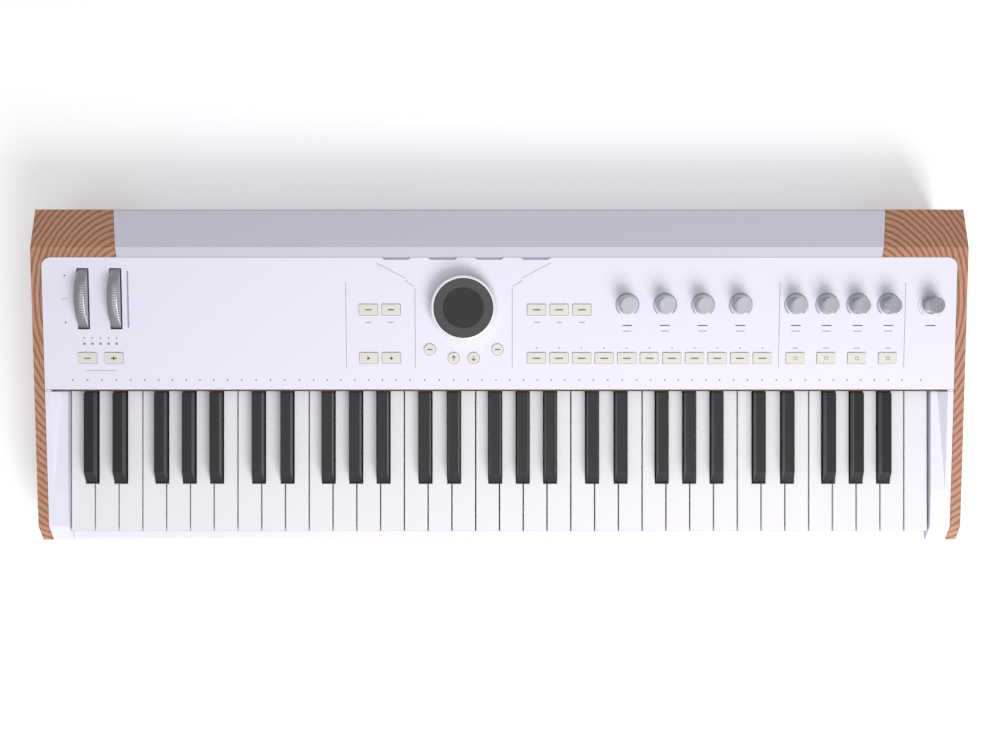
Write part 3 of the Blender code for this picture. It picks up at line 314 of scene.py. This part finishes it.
# Polished glass over black: a sharp reflection and no relief
GLASS = Finish("black_display_glass", Paint.GLASS, 0.06, coat=1.0, grain_mm=20.0, relief=0.0, tint=0.05)
# Pressed wool felt: no sheen and a rough, mottled nap
FELT = Finish("pressed_felt", Paint.FELT, 0.95, grain_mm=0.5, relief=0.5, tint=0.3)
# Moulded rubber feet: nearly black and dull
RUBBER = Finish("moulded_rubber", Paint.RUBBER, 0.8, grain_mm=0.8, relief=0.2, tint=0.2)
# Screen-printed ink: a thin, even film
GREY_INK = Finish("grey_screen_print", Paint.GREY_INK, 0.5, grain_mm=0.5, relief=0.02)
DARK_INK = Finish("dark_screen_print", Paint.DARK_INK, 0.5, grain_mm=0.5, relief=0.02)
# Frosted light bars that are switched off: a dull grey blue
LIGHT_BAR = Finish("diffused_light_bar", Paint.BLUE_LIGHT, 0.35, grain_mm=2.0, relief=0.02)
# The round screen that is switched off: a smooth black
SCREEN = Finish("dim_round_screen", Paint.SCREEN, 0.1, grain_mm=8.0, relief=0.0, tint=0.3)

# A CAD node takes the first finish whose word is in its name, and lacquer where none is
NODE_FINISHES = (
    ("keys_black", BLACK_ABS),
    ("key_frame", STEEL),
    ("key", KEY_ABS),
    ("foot", RUBBER),
    ("board", BOARD),
    ("felt", FELT),
    ("wheel_bracket", STEEL),
    ("display", GLASS),
    ("encoder_ring", PEARL),
    # The rear cover takes the greyer lacquer, which is painted shade
    ("rear_cover", PAINTED_SHADE_LACQUER),
    ("button", SILICONE),
    ("knob", TURNED),
    ("wheel", TURNED),
)
# The rings' shift on the left end, mirrored on the right
WOOD_SHIFT = (0.36, -0.06, 0.02)


def clear_selection() -> None:
    """Leave edit mode and deselect everything."""
    if bpy.context.object and bpy.context.object.mode != "OBJECT":
        bpy.ops.object.mode_set(mode="OBJECT")
    bpy.ops.object.select_all(action="DESELECT")


def dress(piece: bpy.types.Object, material: bpy.types.Material) -> None:
    """Give a piece one material."""
    piece.data.materials.clear()
    piece.data.materials.append(material)


def add_copy(pattern: bpy.types.Object, name: str) -> bpy.types.Object:
    """Copy a pattern piece, with a mesh of its own.

    Args:
        pattern: The piece to copy.
        name: The copy's name.

    Returns:
        The copy.
    """
    piece = pattern.copy()
    piece.data = pattern.data.copy()
    piece.name = name
    bpy.context.collection.objects.link(piece)
    return piece


def finish_piece(piece: bpy.types.Object, body: str, finish: Finish, bevel: float = 0.0) -> None:
    """Bevel a piece, put its place in its mesh, dress it and let it ride its body.

    Args:
        piece: A piece placed in the panel's frame.
        body: The body that it moves with.
        finish: Its finish.
        bevel: Width of a bevel on its sharp edges, or 0 for none.
    """
    clear_selection()
    bpy.context.view_layer.objects.active = piece
    piece.select_set(True)
    if bevel:
        modifier = piece.modifiers.new("edge", "BEVEL")
        modifier.width = bevel
        modifier.segments = 2
        modifier.limit_method = "ANGLE"
        bpy.ops.object.modifier_apply(modifier=modifier.name)
    bpy.ops.object.transform_apply(location=True, rotation=True, scale=True)
    piece.data.transform(PANEL)
    bpy.ops.object.shade_smooth_by_angle(angle=SMOOTH_ANGLE)
    dress(piece, finish.material())
    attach(piece, body)
    LOG.info("%s rides %s", piece.name, body)


@dataclass
class Print:
    """Flat marks in the panel's plane, collected in one mesh."""

    name: str
    finish: Finish
    body: str = "case"
    level: float = 0.0
    slot: str = "white_paint"
    thick: float = MARK_THICK
    disc_sides: int = 16
    arc_overlap: float = 1.04
    bars: list[tuple[float, float, float, float, float]] = field(default_factory=list)
    discs: list[tuple[float, float, float]] = field(default_factory=list)

    def bar(self, u: float, v: float, width: float, depth: float, turn: float = 0.0) -> None:
        """Note one bar: centre, size and turn."""
        self.bars.append((u, v, width, depth, turn))

    def disc(self, u: float, v: float, radius: float) -> None:
        """Note one round dot."""
        self.discs.append((u, v, radius))

    def arc(self, u: float, v: float, radius: float, width: float, opening: float = 0.0,
            steps: int = 30) -> None:
        """Note short bars that make an arc.

        Args:
            u: The arc's centre along the panel.
            v: The arc's centre up the slope.
            radius: Radius of the arc's middle line.
            width: Width of its line.
            opening: Angle left open at the side towards the player.
            steps: Number of bars.
        """
        start = math.radians(-90) + opening / 2
        step = (math.tau - opening) / steps
        length = radius * step * self.arc_overlap
        for i in range(steps):
            angle = start + step * (i + 0.5)
            self.bar(u + radius * math.cos(angle), v + radius * math.sin(angle), length, width,
                     angle + math.pi / 2)

    def build(self) -> None:
        """Model all marks in edit mode and finish the piece."""
        clear_selection()
        w = self.level + self.thick / 2
        bpy.ops.object.add(type="MESH", location=(0, 0, 0))
        piece = bpy.context.object
        piece.name = self.name
        bpy.ops.object.mode_set(mode="EDIT")
        for u, v, width, depth, turn in self.bars:
            bpy.ops.mesh.primitive_cube_add(size=1, location=(u, v, w), rotation=(0, 0, turn),
                                            scale=(width, depth, self.thick))
        for u, v, radius in self.discs:
            bpy.ops.mesh.primitive_cylinder_add(vertices=self.disc_sides, radius=radius, depth=self.thick,
                                                location=(u, v, w))
        bpy.ops.object.mode_set(mode="OBJECT")
        finish_piece(piece, self.body, self.finish)


@dataclass
class PanelMarks:
    """What is printed on the panel, and its small lights."""

    line: float = 0.0005
    dividers: tuple[float, ...] = (-0.149, 0.272, 0.394)
    divider_low: float = 0.0217
    divider_high: float = 0.1040
    # The line on each side of the display: how far out each stroke is, its row, length and lean
    dial_strokes: tuple[tuple[float, float, float, float], ...] = (
        (0.0472, 0.0600, 0.0770, 0.0), (0.0522, 0.1030, 0.0112, 0.95), (0.0702, 0.1155, 0.0320, 1.09))
    wheel_dash: tuple[float, float, float] = (-0.4218, 0.0884, 0.0062)
    wheel_dots: tuple[tuple[float, float], ...] = ((-0.4215, 0.1110), (-0.4215, 0.0655))
    wheel_dot: float = 0.0008
    # The light strip beside the wheels: place, row, width and length
    wheel_strip: tuple[float, float, float, float] = (-0.3605, 0.0880, 0.0016, 0.0550)
    octave_underline: tuple[float, float, float, float] = (-0.3885, 0.0185, 0.0300, 0.0004)
    octave_light_first: float = -0.4039
    octave_light_pitch: float = 0.00788
    octave_light: float = 0.0014
    octave_light_row: float = 0.0448
    octave_figure: tuple[float, float] = (0.0012, 0.0016)
    octave_figure_row: float = 0.0505
    # White keys, and all keys, from C to E and from F to B
    key_groups: tuple[tuple[int, int], ...] = ((3, 5), (4, 7))
    key_light: float = 0.0007
    knob_arc: float = 0.0109
    knob_arc_width: float = 0.0014
    knob_arc_opening: float = math.radians(80)
    volume_arcs: tuple[float, float] = (0.0124, 0.0104)
    volume_arc_width: float = 0.0003
    volume_arc_opening: float = math.radians(70)
    volume_arc_steps: int = 40
    # Captions are plain bars: row, then width and depth
    knob_caption: tuple[float, float, float] = (0.0625, 0.0095, 0.0009)
    knob_subcaption: tuple[float, float, float] = (0.0570, 0.0080, 0.0008)
    high_caption: tuple[float, float, float] = (0.0655, 0.0055, 0.0008)
    high_caption_places: tuple[float, ...] = (-0.1272, -0.1052, 0.0362, 0.0583, 0.0801)
    sound_figure: tuple[float, float, float] = (0.0405, 0.0011, 0.0016)
    effect_caption: tuple[float, float, float] = (0.0405, 0.0055, 0.0008)

    def build(self) -> None:
        """Print the lines, dots, light arcs and captions in order."""
        self._lines()
        self._dots()
        self._octave_lights()
        self._light_arcs()
        self._volume_outline()
        self._captions()
        self._pale_captions()

    def _lines(self) -> None:
        """Print the dividers, the lines beside the display, the wheels' dash and the octaves' underline."""
        lines = Print("panel_lines", GREY_INK)
        middle = (self.divider_low + self.divider_high) / 2
        for u in self.dividers:
            lines.bar(u, middle, self.line, self.divider_high - self.divider_low)
        for side in (-1, 1):
            for out, row, length, lean in self.dial_strokes:
                lines.bar(DIAL_U + side * out, row, self.line, length, -side * lean)
        lines.bar(*self.wheel_dash, self.line)
        lines.bar(*self.octave_underline)
        lines.build()

    def _dots(self) -> None:
        """Print a dot behind each key, spread as the keys' rear ends are, and the wheels' two dots."""
        dots = Print("key_lights", DARK_INK)
        for left in spread(-KEYBED_HALF, OCTAVE_WIDTH, OCTAVES):
            for whites, keys in self.key_groups:
                pitch = whites * WHITE_PITCH / keys
                for u in spread(left + pitch / 2, pitch, keys):
                    dots.disc(u, KEY_ROW, self.key_light)
                left += whites * WHITE_PITCH
        dots.disc(KEYBED_HALF - WHITE_PITCH / 2, KEY_ROW, self.key_light)
        for u, v in self.wheel_dots:
            dots.disc(u, v, self.wheel_dot)
        dots.build()

    def _octave_lights(self) -> None:
        """Print the row of octave lights with a figure above each."""
        octaves = Print("octave_lights", GREY_INK)
        for u in spread(self.octave_light_first, self.octave_light_pitch, OCTAVES):
            octaves.disc(u, self.octave_light_row, self.octave_light)
            octaves.bar(u, self.octave_figure_row, *self.octave_figure)
        octaves.build()

    def _light_arcs(self) -> None:
        """Add the light arcs round the endless knobs and the light strip beside the wheels."""
        arcs = Print("knob_light_arcs", LIGHT_BAR)
        for u in LIT_KNOB_PLACES:
            arcs.arc(u, KNOB_ROW, self.knob_arc, self.knob_arc_width, self.knob_arc_opening)
        arcs.bar(*self.wheel_strip)
        arcs.build()

    def _volume_outline(self) -> None:
        """Print the two thin arcs round the volume knob."""
        outline = Print("volume_arc", GREY_INK)
        for radius in self.volume_arcs:
            outline.arc(VOLUME_U, KNOB_ROW, radius, self.volume_arc_width, self.volume_arc_opening,
                        self.volume_arc_steps)
        outline.build()

    def _captions(self) -> None:
        """Print a dark caption bar under every knob."""
        captions = Print("plain_captions", DARK_INK)
        for u in LIT_KNOB_PLACES + [VOLUME_U]:
            captions.bar(u, *self.knob_caption)
        captions.build()

    def _pale_captions(self) -> None:
        """Print the grey caption bars of the knobs and of the buttons."""
        pale = Print("pale_captions", GREY_INK)
        for places, caption in ((LIT_KNOB_PLACES, self.knob_subcaption),
                                (self.high_caption_places, self.high_caption),
                                (SOUND_PLACES, self.sound_figure),
                                (EFFECT_PLACES, self.effect_caption)):
            for u in places:
                pale.bar(u, *caption)
        pale.build()


@dataclass
class ButtonSigns:
    """Plain signs on the buttons: bars, a cross, a play triangle, a dot, arrows and rings."""

    level: float = 0.0010
    thick: float = 0.0001
    dash: tuple[float, float] = (0.0060, 0.0010)
    cross_stroke: tuple[float, float] = (0.0010, 0.0040)
    row_dash: tuple[float, float] = (0.0075, 0.0010)
    round_dash: tuple[float, float] = (0.0050, 0.0009)
    round_offset: float = 0.0329
    # The play triangle is a row of strokes, each shorter than the one before
    play_start: float = -0.0012
    play_strokes: int = 6
    play_stroke: float = 0.0005
    play_height: float = 0.0032
    play_taper: float = 0.0006
    dot: float = 0.0013
    arrow_offset: float = 0.0097
    arrow_line: float = 0.0007
    arrow_shaft: float = 0.0048
    arrow_barb: float = 0.0028
    arrow_barb_side: float = 0.0009
    arrow_barb_up: float = 0.0014
    arrow_barb_lean: float = 0.79
    ring: float = 0.0016
    ring_line: float = 0.0004
    ring_steps: int = 16

    def build(self) -> None:
        """Print each button's sign so that it rides on its own button."""
        self._pairs()
        self._play_and_dot()
        self._arrows()
        self._round_buttons()
        self._rows()

    def _sign(self, body: str) -> Print:
        """Start a sign on one button."""
        return Print(f"{body}_sign", DARK_INK, body, self.level, "button_grey", self.thick)

    def _pairs(self) -> None:
        """Print a dash on the octave, arpeggio and chord buttons, made a cross on octave up."""
        for body, u, v in (("octave_down_button", OCTAVE_DOWN_U, LOW_ROW),
                           ("octave_up_button", OCTAVE_UP_U, LOW_ROW),
                           ("arpeggio_button", FIRST_PAIR_U, HIGH_ROW),
                           ("chord_button", SECOND_PAIR_U, HIGH_ROW)):
            sign = self._sign(body)
            sign.bar(u, v, *self.dash)
            if body == "octave_up_button":
                sign.bar(u, v, *self.cross_stroke)
            sign.build()

    def _play_and_dot(self) -> None:
        """Print the play triangle and the metronome's dot."""
        play = self._sign("play_button")
        for i, u in enumerate(spread(FIRST_PAIR_U + self.play_start, self.play_stroke, self.play_strokes)):
            play.bar(u, LOW_ROW, self.play_stroke, self.play_height - i * self.play_taper)
        play.build()
        dot = self._sign("metronome_button")
        dot.disc(SECOND_PAIR_U, LOW_ROW, self.dot)
        dot.build()

    def _arrows(self) -> None:
        """Print the arrows of the up and down buttons: a shaft with two barbs."""
        for body, way, up in (("up_button", -1, 1), ("down_button", 1, -1)):
            u = DIAL_U + way * self.arrow_offset
            arrow = self._sign(body)
            arrow.bar(u, LOW_ROW, self.arrow_line, self.arrow_shaft)
            for side in (-1, 1):
                arrow.bar(u + side * self.arrow_barb_side, LOW_ROW + up * self.arrow_barb_up,
                          self.arrow_line, self.arrow_barb, side * up * self.arrow_barb_lean)
            arrow.build()

    def _round_buttons(self) -> None:
        """Print a dash on the back and shift buttons."""
        for body, way in (("back_button", -1), ("shift_button", 1)):
            sign = self._sign(body)
            sign.bar(DIAL_U + way * self.round_offset, ROUND_ROW, *self.round_dash)
            sign.build()

    def _rows(self) -> None:
        """Print dashes on the part and sound buttons, and rings on the effect buttons."""
        for body, places, row in (("part_buttons", PART_PLACES, HIGH_ROW),
                                  ("sound_buttons", SOUND_PLACES, LOW_ROW)):
            dashes = self._sign(body)
            for u in places:
                dashes.bar(u, row, *self.row_dash)
            dashes.build()
        rings = self._sign("effect_buttons")
        for u in EFFECT_PLACES:
            rings.arc(u, LOW_ROW, self.ring, self.ring_line, steps=self.ring_steps)
        rings.build()


@dataclass
class KnobSet:
    """Turned knobs: a skirt, a grip whose flutes fade out upwards, a chamfer and a stepped top."""

    skirt_radius: float = 0.0090
    skirt_height: float = 0.0016
    skirt_middle: float = 0.0013
    # Steps up from the skirt: how far each ring is set in, then how far it rises
    steps: tuple[tuple[float, float], ...] = (
        (0.0014, 0.0016), (0.0, 0.0140), (0.0007, 0.0007), (0.0010, 0.0), (0.0010, -0.0003), (0.0030, 0.0))
    flutes: int = 36
    # Flutes are cut in what lies further out than this, between these heights
    flute_out: float = 0.0070
    flute_low: float = 0.0020
    flute_high: float = 0.0155
    flute_scale: float = 0.965

    def build(self) -> None:
        """Model one knob, then finish a copy at each place."""
        pattern = self._pattern()
        names = [f"macro_knob_{i + 1}" for i in range(len(MACRO_PLACES))]
        names += [f"effect_knob_{i + 1}" for i in range(len(EFFECT_PLACES))]
        for name, u in zip(names + ["volume_knob"], LIT_KNOB_PLACES + [VOLUME_U]):
            piece = add_copy(pattern, f"{name}_turned")
            piece.location = (u, KNOB_ROW, self.skirt_middle)
            finish_piece(piece, name, TURNED)
            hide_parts(name)
        bpy.data.objects.remove(pattern)

    def _pattern(self) -> bpy.types.Object:
        """Model one knob at the origin: rings are set in and raised up from the skirt, then fluted.

        Returns:
            The pattern of the knobs.
        """
        clear_selection()
        bpy.ops.mesh.primitive_cylinder_add(vertices=self.flutes * 2, radius=self.skirt_radius,
                                            depth=self.skirt_height, location=(0, 0, 0))
        piece = bpy.context.object
        bpy.ops.object.mode_set(mode="EDIT")
        bpy.ops.mesh.select_all(action="DESELECT")
        bpy.ops.mesh.select_mode(type="FACE")
        bpy.ops.object.mode_set(mode="OBJECT")
        for face in piece.data.polygons:
            face.select = face.normal.z > FACES_OUT
        bpy.ops.object.mode_set(mode="EDIT")
        for inset, rise in self.steps:
            if inset:
                bpy.ops.mesh.inset(thickness=inset, depth=0.0)
            if rise:
                bpy.ops.mesh.extrude_region_move(TRANSFORM_OT_translate={"value": (0, 0, rise)})
        bpy.ops.object.mode_set(mode="OBJECT")
        for vertex in piece.data.vertices:
            x, y, z = vertex.co
            step = round(math.atan2(y, x) / math.tau * self.flutes * 2)
            on_grip = math.hypot(x, y) > self.flute_out and self.flute_low < z < self.flute_high
            if on_grip and step % 2:
                vertex.co = (x * self.flute_scale, y * self.flute_scale, z)
        return piece


@dataclass
class Wheels:
    """The two metal wheels: a ribbed rim with a smooth finger scoop."""

    radius: float = 0.036
    width: float = 0.010
    # How deep the axle lies under the panel, and its row
    depth: float = 0.023
    row: float = 0.08838
    ribs: int = 96
    rib_depth: float = 0.0005
    scoop_half: float = math.radians(15)
    scoop_depth: float = 0.0026
    edge: float = 0.0005
    # Each wheel's place, and its turn at rest
    places: tuple[tuple[str, float, float], ...] = (
        ("pitch_wheel", -0.4040, 0.0), ("mod_wheel", -0.3723, math.radians(-23)))

    def build(self) -> None:
        """Model one wheel, then turn and finish a copy at each place."""
        pattern = self._pattern()
        for name, u, turn in self.places:
            piece = add_copy(pattern, f"{name}_ribbed")
            piece.data.transform(Matrix.Rotation(-turn, 4, "X"))
            piece.data.transform(Matrix.Translation((u, self.row, -self.depth)))
            finish_piece(piece, name, TURNED, self.edge)
            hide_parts(name)
        bpy.data.objects.remove(pattern)

    def _pattern(self) -> bpy.types.Object:
        """Model one wheel on the X axis, with its scoop at the top.

        Returns:
            The pattern of the wheels.
        """
        clear_selection()
        bpy.ops.mesh.primitive_cylinder_add(vertices=self.ribs * 2, radius=self.radius, depth=self.width,
                                            location=(0, 0, 0))
        piece = bpy.context.object
        for vertex in piece.data.vertices:
            x, y, z = vertex.co
            scale = 1 - self._cut(math.atan2(y, x)) / self.radius
            vertex.co = (x * scale, y * scale, z)
        piece.data.transform(Matrix.Rotation(math.radians(90), 4, "Y"))
        piece.data.transform(Matrix.Rotation(math.radians(180), 4, "Z"))
        return piece

    def _cut(self, angle: float) -> float:
        """Find how deep the rim is cut.

        Args:
            angle: Angle round the wheel from the middle of the scoop.

        Returns:
            The scoop's depth inside it, and elsewhere a groove at every second step of the rim.
        """
        across = abs(angle) / self.scoop_half
        if across < 1:
            return self.scoop_depth * math.cos(across * math.pi / 2)
        step = round(angle / math.tau * self.ribs * 2)
        return self.rib_depth if step % 2 else 0.0


@dataclass
class Dial:
    """The screen of the round display, as a thin disc on its glass."""

    level: float = 0.0126
    thick: float = 0.00006
    radius: float = 0.0200

    def build(self) -> None:
        """Add the screen's disc."""
        screen = Print("round_screen", SCREEN, "display", self.level, "black_glass", self.thick)
        screen.disc(DIAL_U, DIAL_ROW, self.radius)
        screen.build()


@dataclass(frozen=True)
class Softbox:
    """A square lamp that faces the origin."""

    name: str
    place: tuple[float, float, float]
    size: float
    watts: float

    def build(self) -> None:
        """Add the lamp and aim it."""
        light = bpy.data.lights.new(self.name, "AREA")
        light.size = self.size
        light.energy = self.watts
        lamp = bpy.data.objects.new(self.name, light)
        lamp.location = self.place
        lamp.rotation_euler = (-Vector(self.place)).to_track_quat("-Z", "Y").to_euler()
        bpy.context.scene.collection.objects.link(lamp)


@dataclass
class Stage:
    """Floor, lights and the overhead camera of the photograph. Its colours are linear."""

    floor_size: float = 12.0
    floor_drop: float = 0.0002
    floor_colour: tuple[float, float, float, float] = (0.92, 0.92, 0.93, 1)
    floor_roughness: float = 0.9
    floor_glow: float = 0.22
    sky_colour: tuple[float, float, float, float] = (0.95, 0.96, 1.0, 1)
    sky_strength: float = 0.46
    lamps: tuple[Softbox, ...] = (
        Softbox("front_right_softbox", (0.7, -1.5, 1.5), 1.2, 40.0),
        Softbox("top_softbox", (0.0, -0.3, 2.2), 2.0, 10.0))
    camera_place: tuple[float, float, float] = (0.0006, 0.001, 1.288)
    lens: float = 44.46
    sensor: float = 36.0

    def build(self) -> None:
        """Set up everything that isn't the object."""
        bpy.context.scene.view_settings.view_transform = "Standard"
        self._floor()
        self._sky()
        for lamp in self.lamps:
            lamp.build()
        self._camera()

    def _floor(self) -> None:
        """Lay a pale floor that looks a little brighter to the camera."""
        clear_selection()
        bpy.ops.mesh.primitive_plane_add(size=self.floor_size, location=(0, 0, -self.floor_drop))
        floor = bpy.context.object
        floor.name = "floor"
        made, tree, shader = start_material("pale_floor")
        path = add_node(tree, "ShaderNodeLightPath")
        glow = add_node(tree, "ShaderNodeMath", {
            0: path.outputs["Is Camera Ray"], 1: self.floor_glow}, operation="MULTIPLY")
        feed(tree, shader, {
            "Base Color": self.floor_colour, "Roughness": self.floor_roughness,
            "Emission Color": (1.0, 1.0, 1.0, 1), "Emission Strength": glow.outputs["Value"]})
        dress(floor, made)

    def _sky(self) -> None:
        """Light everything evenly from all round."""
        world = bpy.data.worlds.new("studio")
        bpy.context.scene.world = world
        world.use_nodes = True
        background = world.node_tree.nodes["Background"]
        feed(world.node_tree, background, {"Color": self.sky_colour, "Strength": self.sky_strength})

    def _camera(self) -> None:
        """Add the camera, which looks straight down."""
        data = bpy.data.cameras.new("overhead")
        data.lens = self.lens
        data.sensor_width = self.sensor
        camera = bpy.data.objects.new("overhead", data)
        camera.location = self.camera_place
        bpy.context.scene.collection.objects.link(camera)
        bpy.context.scene.camera = camera


def node_material(name: str) -> bpy.types.Material:
    """Choose a CAD node's material by its name.

    Args:
        name: The node's name.

    Returns:
        Wood for the ends, and else the material of the first finish whose word is in the name.
    """
    if name.startswith("wood_end"):
        x, y, z = WOOD_SHIFT
        return WoodFinish(f"oiled_{name}", (-x if name.endswith("right") else x, y, z)).material()
    finish = next((finish for word, finish in NODE_FINISHES if word in name), LACQUER)
    return finish.material()


def main() -> None:
    """Build the looks in order."""
    logging.basicConfig(level=logging.INFO)
    for name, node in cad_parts.items():
        dress(node, node_material(name))
    Stage().build()
    PanelMarks().build()
    ButtonSigns().build()
    KnobSet().build()
    Wheels().build()
    Dial().build()


if __name__ == "__main__":
    main()
